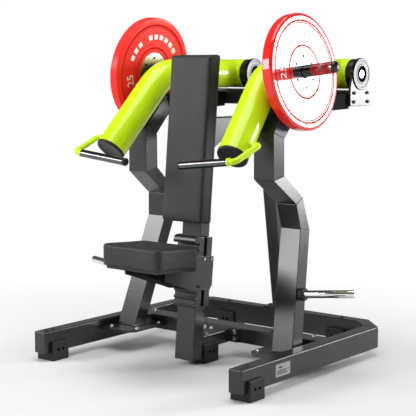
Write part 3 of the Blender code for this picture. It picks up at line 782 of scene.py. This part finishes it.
def arms():
    for sign, side in SIDES:
        body = side + "_arm_body"
        pivot = at(sign * ARM_X, PIVOT_Y, PIVOT_Z)
        start = at(sign * 0.2695, PIVOT_Y - 0.012, PIVOT_Z)
        elbow, end = arm_points(sign)
        tube = Shape().swept(rounded([start, elbow, end], ELBOW_RADIUS, 20), ARM_R, 64)
        arm = tube.make(side + "_press_arm", LIME, body, "lime_paint", [side + "_arm"])
        width = 2 * HUB_HALF
        hub = [(0, ARM_R - 0.0007), (0.0015, ARM_R + 0.0008),
               (width - 0.0015, ARM_R + 0.0008), (width, ARM_R - 0.0007)]
        combine(arm, Shape().turned(pivot - Vector((HUB_HALF, 0, 0)), (1, 0, 0), hub, 64), "UNION")
        arm.data.shade_smooth()
        arm.data.set_sharp_from_angle(angle=math.radians(30))
        down = (end - elbow).normalized()
        Shape().turned(end + down * GAP, down,
                       [(0, 0.050), (0, ARM_R - 0.0005), (0.006, ARM_R - 0.0005), (0.0095, ARM_R - 0.0022),
                        (0.011, ARM_R - 0.006), (0.0105, ARM_R - 0.010), (0.0095, ARM_R - 0.0115),
                        (0.0095, 0.006), (0.0095, 0.002)], 64).make(
            side + "_arm_end_cap", RUBBER, body, "rubber_black", [side + "_arm_cap"], angle=40.0)
        handle(sign, side, body, end, down)
        load_peg(sign, side, body)


def handle(sign, side, body, arm_end, down):
    inner = sided(sign, GRIP_IN)
    outer = sided(sign, GRIP_OUT)
    along = (outer - inner).normalized()
    length = (outer - inner).length
    Shape().turned(inner, along, [(0, GRIP_R - 0.0015), (0.0015, GRIP_R), (length - 0.0015, GRIP_R),
                                  (length, GRIP_R - 0.0015)], 48).make(
        side + "_knurled_grip", KNURL_PAINTED_SHADE, body, "chrome", [side + "_grip"])
    Shape().turned(inner - along * 0.0123, along,
                   [(0, 0.0110), (0.0012, 0.0138), (0.0035, 0.0155), (0.012, 0.0155)], 48).make(
        side + "_grip_end", RUBBER, body, "rubber_black", [side + "_grip_cap"], angle=50.0)
    root = arm_end - down * 0.043
    outward = across(Vector((sign, 0.0, 0.0)), down)
    corners = [outer + along * GAP, outer + along * 0.032, sided(sign, ROD_BEND),
               root + outward * (ARM_R + 0.0006)]
    rod = Shape().swept(rounded(corners, 0.018, 10), ROD_R, 32)
    rod.turned(outer - along * 0.004, along,
               [(0, 0.0152), (0.003, 0.0156), (0.009, 0.0150), (0.012, 0.0117)], 32)
    rod.turned(root + outward * (ARM_R - 0.001), outward,
               [(0, 0.0165), (0.0025, 0.0150), (0.0045, 0.0118)], 32)
    rod.make(side + "_handle_bar", LIME, body, "lime_paint", [side + "_handle_rod"])


def peg_axis(sign):
    """Direction of the pegs, which rise a little outward."""
    return Vector((sign * math.cos(PEG_TILT), 0, math.sin(PEG_TILT)))


def load_peg(sign, side, body):
    axis = peg_axis(sign)

    def on_axis(x):
        return at(sign * x, LOAD_Y, LOAD_Z + (x - LOAD_X) * math.tan(PEG_TILT))
    stop = (PLATE_FROM - PEG_ROOT) / math.cos(PEG_TILT) - GAP
    Shape().turned(on_axis(PEG_ROOT), axis,
                   [(0, 0.0215), (stop, 0.0215), (stop + 0.001, PEG_R), (PEG_LENGTH, PEG_R)], 64).make(
        side + "_loading_peg", CHROME_PAINTED_SHADE, body, "chrome", [side + "_load_peg"])
    Shape().turned(on_axis(PEG_ROOT), axis,
                   [(0, 0.0210), (0, 0.0325), (0.010, 0.0325), (0.011, 0.0312), (0.013, 0.0312),
                    (0.014, 0.0325), (stop - 0.003, 0.0325), (stop - 0.001, 0.0310),
                    (stop - 0.001, 0.0210)], 48, True).make(
        side + "_stop_collar", GLOSS_BLACK, body, "rubber_black", angle=35.0)
    tip = on_axis(PEG_ROOT) + axis * (PEG_LENGTH + GAP)
    profile = [(0, PEG_R - 0.001), (0.0012, PEG_R)]
    for k in range(DOME_STEPS):
        a = math.pi / 2 * k / (DOME_STEPS - 0.7)
        profile.append((0.005 + 0.0135 * math.sin(a), PEG_R * math.cos(a)))
    Shape().turned(tip, axis, profile, 48).make(
        side + "_peg_end_cap", GLOSS_BLACK, body, "rubber_black", [side + "_load_cap"])
    weight_plate(sign, side, axis, on_axis(PLATE_FROM) - Vector((0, 0, PLATE_BORE - PEG_R - GAP)))


def weight_plate(sign, side, axis, back):
    body = side + "_plate_body"
    r, t = DISC_R, DISC_THICK
    face = [(0.0018, HUB_R + GAP), (0.0018, 0.0975), (0.0026, 0.0985), (0.0026, 0.1035),
            (0.0018, 0.1045), (0.0022, 0.186), (0.0002, 0.189), (0.0, 0.1925), (0.0010, 0.1930),
            (0.0010, 0.1990), (0.0, 0.1995), (0.0, r - 0.012), (0.0015, r - 0.0035),
            (0.0045, r - 0.0008), (0.0075, r)]
    back_face = [(t - along, radius) for along, radius in reversed(face)]
    # The left plate wears the brighter, duller copy of the red: painted light.
    Shape().turned(back, axis, face + back_face, 96, True).make(
        side + "_red_weight_plate", RED if sign > 0 else RED_PAINTED_LIGHT, body, "plate_red",
        [side + "_weight_plate"], angle=8.0)
    # Thin rings of the darker red in the grooves: painted shade.
    groove_shade = Shape()
    for floor, inner, outer in ((0.0024, 0.0987, 0.1033), (0.0008, 0.1933, 0.1987)):
        for low, high in ((floor, floor + 0.002), (t - floor - 0.002, t - floor)):
            groove_shade.turned(back, axis, [(low, inner), (low, outer), (high, outer), (high, inner)], 96, True)
    groove_shade.make(side + "_plate_groove_shade", GROOVE_SHADE_RED, body, "plate_red")
    hub = [(0.0040, PLATE_BORE), (0.0040, PLATE_BORE + 0.010), (0.0028, PLATE_BORE + 0.011),
           (0.0028, HUB_R - 0.001), (0.0036, HUB_R)]
    back_hub = [(t - along, radius) for along, radius in reversed(hub)]
    # Right hub in the darker copy, left hub in the lighter copy: painted shade and painted light.
    Shape().turned(back, axis, hub + back_hub, 64, True).make(
        side + "_steel_hub", HUB_PAINTED_SHADE if sign > 0 else HUB_PAINTED_LIGHT, body, "steel_bare",
        [side + "_plate_hub"], angle=28.0)
    hub_screws(side, body, axis.normalized(), back, t)
    marks(side, body, axis.normalized(), back, t)


def hub_screws(side, body, forward, back, thick):
    second = Vector((0, -1, 0))
    screws = Shape()
    for spot in circle(back, forward.cross(second), second, SCREW_RING, turns(6)):
        for start, way in ((spot + forward * 0.0040, -forward),
                           (spot + forward * (thick - 0.0040), forward)):
            screws.turned(start, way, [(0, 0.0052), (0.0018, 0.0052), (0.0022, 0.0046), (0.0022, 0.0026),
                                       (0.0012, 0.0024), (0.0012, 0.0002)], 16)
    screws.make(side + "_hub_screws", MATTE_BLACK, body, "steel_bare")


def marks(side, body, forward, back, thick):
    """Plain printed dashes and a numeral on both faces."""
    shape = Shape()
    first = across(Vector((0, 0, 1)), forward)
    second = Vector((0, -1, 0))
    near, far = 0.0016, thick - 0.0016
    for surface, way in ((near, -1.0), (far, 1.0)):
        for slot in (0, 1, 2, 3, 4, 5, 7, 8, 9):
            centre = math.radians(-52 + 13.2 * slot)
            ends = (centre - DASH_HALF, centre + DASH_HALF)
            corners = circle(back, first, second, DASH_IN, ends)
            corners += circle(back, first, second, DASH_OUT, ends[::-1])
            shape.quads([[c + forward * surface for c in corners],
                         [c + forward * (surface + way * 0.0005) for c in corners]])
    shape.make(side + "_plate_dashes", WHITE, body, "plate_red")
    for word, surface, way, drop in (("inner", near, -1.0, -0.036), ("outer", far, 1.0, 0.0)):
        up = across(Vector((0, -NUMERAL_AT, drop)), forward)
        place = back + forward * surface + up * NUMERAL_AT
        numeral(f"{side}_{word}_numeral", body, place, up, forward * way)


def numeral(name, body, place, up, normal):
    """The weight in kilograms, in Blender's own font, lying on a face."""
    text = bpy.data.curves.new("numeral", "FONT")
    text.body = "25"
    text.size = 0.052
    text.align_x = "CENTER"
    text.align_y = "CENTER"
    text.extrude = 0.0004
    text.resolution_u = 4
    helper = linked("numeral", text)
    graph = bpy.context.evaluated_depsgraph_get()
    mesh = bpy.data.meshes.new_from_object(helper.evaluated_get(graph), depsgraph=graph)
    bpy.data.objects.remove(helper, do_unlink=True)
    turn = Matrix((up.cross(normal), up, normal)).transposed().to_4x4()
    turn.translation = place
    mesh.transform(turn)
    mesh.materials.clear()
    mesh.materials.append(WHITE)
    obj = linked(name, mesh)
    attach(obj, body)


# ---------------------------------------------------------------- pegs, label, bolts

def storage_pegs():
    for sign, side in SIDES:
        axis = peg_axis(sign)
        root = sided(sign, STORE_ROOT)
        start = root + axis * ((leg_x(STORE_ROOT[2]) + LEG_HALF - STORE_ROOT[0]) + 0.006)
        r, n = STORE_R, STORE_LENGTH
        Shape().turned(start, axis, [(0, r), (n - 0.004, r), (n - 0.0015, r - 0.001), (n, r - 0.0035),
                                     (n, 0.005), (n - 0.001, 0.003)], 48).make(
            side + "_storage_bar", CHROME, "frame", "chrome", [side + "_storage_peg"], angle=40.0)
        Shape().turned(start, axis,
                       [(0, r + GAP), (0, 0.0245), (0.002, 0.0250), (0.009, 0.0250), (0.0098, 0.0238),
                        (0.0118, 0.0238), (0.0126, 0.0250), (0.018, 0.0250), (0.0225, 0.0220),
                        (0.0225, r + GAP)], 48, True).make(
            side + "_storage_stop", RUBBER, "frame", "rubber_black", [side + "_storage_collar"], angle=35.0)
        nuts = Shape()
        for z in (0.312, 0.284):
            spot = at(sign * (leg_x(z) - LEG_HALF), 0.503, z)
            bolt_profile(nuts, spot, (-sign, 0, -0.12), 0.0085, "hex")
        nuts.make(side + "_storage_nuts", ZINC, "frame", "steel_bare")


def label():
    face = RAIL_OUT + GAP
    Shape().box(face, face + 0.001, 0.204, 0.296, 0.055, 0.102).make(
        "rail_label", LABEL, "frame", "steel_bare", ["label_plate"], 0.0003, 2)
    lines = Shape()
    for y0, y1, z0, z1 in ((0.222, 0.246, 0.086, 0.092), (0.214, 0.286, 0.076, 0.079),
                           (0.214, 0.270, 0.070, 0.073), (0.214, 0.280, 0.064, 0.067)):
        lines.box(face + 0.0008, face + 0.0013, y0, y1, z0, z1)
    lines.make("rail_label_lines", BOLT, "frame", "steel_bare")


def bolts():
    dark, bright, chrome, pins = Shape(), Shape(), Shape(), Shape()
    up, forward = (0, 0, 1), (0, -1, 0)
    plate = ARM_X + HUB_HALF + HUB_GAP + HOUSING_LENGTH + PLATE_THICK
    flange = MID_FRONT - 0.0083
    for sign in (1, -1):
        out = (sign, 0, 0)
        for shape, normal, size, kind, places in (
                (dark, up, 0.0085, "dome", ((0.491, 0.040, BASE_TOP), (0.491, 0.075, BASE_TOP),
                                            (0.300, 1.001, BASE_TOP),
                                            (0.072, REAR_FRONT + 0.030, BASE_TOP + 0.0083))),
                (dark, out, 0.0075, "socket", ((plate, 0.948, 1.068), (plate, 1.048, 1.068),
                                               (plate, 0.945, 1.032), (plate, 1.051, 1.032))),
                (bright, up, 0.0095, "hex", ((0.427, 0.354, 0.093), (0.312, 0.385, 0.093),
                                             (0.312, 0.520, 0.093), (0.436, 0.520, 0.093))),
                (bright, up, 0.0080, "hex", ((0.411, 0.620, BASE_TOP),)),
                (bright, forward, 0.0080, "hex", ((0.386, MID_FRONT, 0.078),)),
                (bright, forward, 0.0085, "hex", ((0.074, flange, 0.078), (0.074, flange, 0.105))),
                (chrome, out, 0.0050, "dome", ((0.0625, 0.366, 0.4235), (0.0625, 0.4115, 0.4190))),
                (pins, out, 0.0050, "socket", ((0.0625, 0.327, 0.321),))):
            for x, y, z in places:
                bolt_profile(shape, at(sign * x, y, z), normal, size, kind)
    for x, y in ((-0.026, 0.524), (0.026, 0.419)):
        bolt_profile(bright, at(x, y, SPINE_TOP), up, 0.0080, "hex")
    dark.make("frame_bolts_dark", BOLT, "frame", "steel_bare")
    Shape().box(-0.095, 0.095, flange, MID_FRONT - GAP, MID_LOW + 0.001, BASE_TOP - 0.001).make(
        "centre_flange", CHARCOAL, "frame", "frame_paint", edge=0.0012, steps=2)
    bright.make("frame_bolts_bright", ZINC, "frame", "steel_bare")
    chrome.make("seat_plate_screws", CHROME, "seat", "chrome")
    pins.make("seat_plate_pins", BOLT, "seat", "steel_bare")
    cap_screw()


def cap_screw():
    """The small screw near the lower end of the left arm."""
    elbow, end = arm_points(-1)
    down = (end - elbow).normalized()
    outward = across(Vector((1.0, -0.25, -0.05)), down)
    spot = end - down * 0.036 + outward * (ARM_R - 0.001)
    Shape().turned(spot, outward, [(0, 0.0062), (0.0022, 0.0062), (0.0032, 0.0050), (0.0032, 0.0028),
                                   (0.0016, 0.0026), (0.0016, 0.0002)], 20).make(
        "left_cap_screw", LIME, "left_arm_body", "lime_paint")


# ---------------------------------------------------------------- cushions

def places(obj):
    """Positions of the mesh's vertices, one row each."""
    flat = np.empty(len(obj.data.vertices) * 3)
    obj.data.vertices.foreach_get("co", flat)
    return flat.reshape(-1, 3)


def smoothed(mesh, values, rounds):
    """Values per vertex averaged along the edges, round after round."""
    pairs = np.empty(len(mesh.edges) * 2, dtype=np.int64)
    mesh.edges.foreach_get("vertices", pairs)
    first, second = pairs.reshape(-1, 2).T
    links = np.bincount(pairs, minlength=len(values))[:, None]
    for _ in range(rounds):
        total = np.zeros_like(values)
        np.add.at(total, first, values[second])
        np.add.at(total, second, values[first])
        values = 0.5 * values + 0.5 * total / links
    return values


def inflate(obj, cap, flat_point, flat_normal):
    """Cloth under pressure, capped, and held flat where the cushion rests."""
    mod = obj.modifiers.new("voxels", "REMESH")
    mod.mode = "VOXEL"
    mod.voxel_size = CLOTH_VOXEL
    apply_all(obj)
    before = places(obj)
    scene = bpy.context.scene
    scene.frame_start, scene.frame_end = 1, CLOTH_FRAMES
    mod = obj.modifiers.new("cloth", "CLOTH")
    mod.settings.use_pressure = True
    mod.settings.uniform_pressure_force = CLOTH_PRESSURE
    mod.settings.effector_weights.gravity = 0.0
    mod.point_cache.frame_start, mod.point_cache.frame_end = 1, CLOTH_FRAMES
    for number in range(1, CLOTH_FRAMES + 1):
        scene.frame_set(number)
    apply_all(obj)
    scene.frame_set(1)
    move = smoothed(obj.data, places(obj) - before, SMOOTHING_ROUNDS)
    length = np.linalg.norm(move, axis=1, keepdims=True)
    move *= np.minimum(1.0, cap / np.maximum(length, 1e-9))
    place = before + move
    normal = np.array(flat_normal)
    over = np.maximum((place - np.array(flat_point)) @ normal, 0.0)
    place -= over[:, None] * normal
    obj.data.vertices.foreach_set("co", place.ravel())
    obj.data.update()
    mod = obj.modifiers.new("fine", "SUBSURF")
    mod.levels = 1
    mod.render_levels = 1
    apply_all(obj)
    obj.data.shade_smooth()


def upholster(block, name, mat, body, node):
    """Names and dresses a cushion, and ties it to its CAD node."""
    block.name = name
    block.data.name = name
    block.data.materials.clear()
    block.data.materials.append(mat)
    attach(block, body)
    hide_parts(node)


def seam_on(obj, points, name, body):
    """A stitched welt that follows the cushion's own surface through the given loop."""
    graph = bpy.context.evaluated_depsgraph_get()
    tree = BVHTree.FromObject(obj, graph)
    path = []
    count = len(points)
    for k in range(count):
        first, second = points[k], points[(k + 1) % count]
        steps = max(1, int((second - first).length / 0.006))
        for i in range(steps):
            spot = first.lerp(second, i / steps)
            hit, normal, _, _ = tree.find_nearest(spot)
            path.append(hit + normal * (SEAM_R * 0.15))
    Shape().swept(path, SEAM_R, 8, True).make(name, SEAM, body, "upholstery")


def crown(obj):
    """Raise the top of the seat towards its middle, as the foam under the cover does."""
    for vert in obj.data.vertices:
        x, y = vert.co.x, vert.co.y + DEPTH_MID
        inside = min(SEAT_HALF - abs(x), y - SEAT_FRONT, SEAT_REAR - y)
        share = min(max(inside / CROWN_RIM, 0.0), 1.0)
        above = min(max((vert.co.z - seat_low(y)) / SEAT_THICK - 0.5, 0.0) * 2.0, 1.0)
        vert.co.z += CROWN_HEIGHT * above * share * (2.0 - share)


def shade_by_facing(obj, mat, direction, limit):
    """Give the faces that look along the direction a darker copy of the vinyl: painted shade on that side.
    """
    obj.data.materials.append(mat)
    way = Vector(direction)
    for face in obj.data.polygons:
        if face.normal.dot(way) > limit:
            face.material_index = len(obj.data.materials) - 1


def backrest():
    inset = CUSHION_INSET
    thick = BACK_THICK / math.cos(LEAN)

    def rear_of(z):
        return lean_y(z) + 0.0004
    low, top = BACK_LOW + inset, BACK_TOP - inset
    corners = [(rear_of(low) - thick + inset, low + BACK_THICK * math.sin(LEAN)), (rear_of(low), low),
               (rear_of(top), top), (rear_of(top) - thick + inset, top)]
    block = Shape().slab_x(corners, inset - BACK_HALF, BACK_HALF - inset).tool()
    bevel(block, 0.008, 4, 35.0)
    apply_all(block)
    normal = Vector((0, math.cos(LEAN), -math.sin(LEAN)))
    inflate(block, 0.0030, at(0, rear_of(0.9), 0.9), normal)
    upholster(block, "backrest_pad", BACK_PAD, "frame", "backrest_cushion")
    # The backrest's sides get the darker vinyl: painted shade.
    for way in (1, -1):
        shade_by_facing(block, PAD_SIDE_SHADE, (way, 0, 0), 0.7)
    half, share = BACK_HALF + 0.002, 0.24
    low_y, top_y = rear_of(low) - thick * share, rear_of(top) - thick * share
    bottom = low + BACK_THICK * math.sin(LEAN) * share - 0.003
    seam_on(block, [at(-half, low_y, bottom), at(half, low_y, bottom),
                    at(half, top_y, top + 0.003), at(-half, top_y, top + 0.003)],
            "backrest_seam_rear", "frame")


def seat_cushion():
    inset = CUSHION_INSET
    lift = SEAT_THICK / math.cos(SEAT_TILT)
    front, rear = SEAT_FRONT + inset, SEAT_REAR - inset
    corners = [(front, seat_low(front)), (rear, seat_low(rear)),
               (rear, seat_low(rear) + lift - inset), (front, seat_low(front) + lift - inset)]
    block = Shape().slab_x(corners, inset - SEAT_HALF, SEAT_HALF - inset).tool()
    work = bmesh.new()
    work.from_mesh(block.data)
    upright = [e for e in work.edges if abs((e.verts[0].co - e.verts[1].co).normalized().z) > 0.9]
    bmesh.ops.bevel(work, geom=upright, offset=0.026, segments=6, profile=0.5, affect="EDGES")
    work.to_mesh(block.data)
    work.free()
    bevel(block, 0.006, 3, 50.0)
    apply_all(block)
    normal = Vector((0, -math.sin(SEAT_TILT), -math.cos(SEAT_TILT)))
    inflate(block, 0.0025, at(0, 0.1, seat_low(0.1)), normal)
    crown(block)
    upholster(block, "seat_pad", PAD, "seat", "seat_cushion")
    # The seat's upward faces get the darker vinyl: painted shade.
    shade_by_facing(block, PAD_TOP_SHADE, (0, 0, 1), 0.75)
    half = SEAT_HALF + 0.002
    height = lift * 0.86
    outline = round_outline([(-half, SEAT_FRONT - 0.002), (half, SEAT_FRONT - 0.002),
                             (half, SEAT_REAR + 0.002), (-half, SEAT_REAR + 0.002)], [CROWN_RIM] * 4, 6)
    loop = [at(x, y, seat_low(y) + height) for x, y in outline]
    seam_on(block, loop, "seat_seam_top", "seat")


# ---------------------------------------------------------------- stage

def area_light(name, place, target, width, height, radiance):
    """Soft box of the given radiance facing the target."""
    data = bpy.data.lights.new(name, "AREA")
    data.shape = "RECTANGLE"
    data.size, data.size_y = width, height
    data.energy = radiance * math.pi * width * height
    obj = linked(name, data)
    obj.location = place
    obj.rotation_euler = (Vector(target) - Vector(place)).to_track_quat("-Z", "Y").to_euler()


def floor():
    """White floor that fades to plain white away from the machine."""
    mesh = bpy.data.meshes.new("studio_floor")
    rings, count = (0.0, 2.0, 4.0, 8.0, 16.0, 60.0), 64
    verts = [Vector((0, 0, 0))]
    faces = []
    for radius in rings[1:]:
        verts += [Vector((radius * math.cos(a), radius * math.sin(a), 0)) for a in turns(count)]
    for k in range(count):
        faces.append((0, 1 + k, 1 + (k + 1) % count))
        for level in range(len(rings) - 2):
            a, b = 1 + level * count, 1 + (level + 1) * count
            faces.append((a + k, b + k, b + (k + 1) % count, a + (k + 1) % count))
    mesh.from_pydata(verts, [], faces)
    sheet = linked("studio_floor", mesh)
    look = Look("studio_white")
    look.feed(look.shader, {"Base Color": colour(FLOOR_GREY), "Roughness": 0.85})
    shift = look.new("Mapping", {"Vector": look.coords(), "Location": FADE_CENTRE})
    distance = look.new("VectorMath", {0: shift.outputs["Vector"]})
    distance.operation = "LENGTH"
    spread = look.new("MapRange", {"Value": distance.outputs["Value"], "From Min": FADE_FROM,
                                   "From Max": FADE_TO})
    glow = look.new("Emission", {"Color": colour(1.0), "Strength": 1.0})
    mix = look.new("MixShader", {"Fac": spread.outputs["Result"], 1: look.shader.outputs["BSDF"],
                                 2: glow.outputs["Emission"]})
    look.feed(look.tree.nodes["Material Output"], {"Surface": mix.outputs["Shader"]})
    mesh.materials.append(look.mat)


def surroundings():
    """White up to the horizon and grey above it, so that dark metal has something to mirror."""
    world = bpy.data.worlds.new("studio_world")
    bpy.context.scene.world = world
    sky = Nodes(world)
    height = sky.new("SeparateXYZ", {"Vector": sky.coords("Generated")}).outputs["Z"]
    shade = sky.ramp(height, SKY)
    sky.feed(sky.tree.nodes["Background"], {"Color": shade, "Strength": 1.0})
    bpy.context.scene.view_settings.view_transform = "Standard"


def lights():
    area_light("soft_box_rear_right", (2.80, 3.85, 1.55), (0.4, 0.0, 1.0), 1.7, 1.5, 18.0)
    area_light("soft_box_front_left", (-2.95, -3.35, 2.20), (0.0, -0.1, 0.7), 2.6, 1.3, 14.0)
    area_light("soft_box_top", (0.3, -0.4, 4.2), (0.0, 0.0, 0.75), 3.0, 3.0, 5.0)


def photo_camera():
    """The camera fitted to the photograph."""
    camera = bpy.data.cameras.new("camera")
    camera.sensor_width = 36.0
    camera.lens = CAMERA_LENS
    viewer = linked("camera", camera)
    viewer.location = CAMERA_PLACE
    viewer.rotation_euler = CAMERA_TURN
    bpy.context.scene.camera = viewer


floor_frame()
feet()
uprights()
rear_structure()
column()
rack()
backrest_support()
seat_carriage()
pivots()
arms()
storage_pegs()
label()
bolts()
backrest()
seat_cushion()
floor()
surroundings()
lights()
photo_camera()
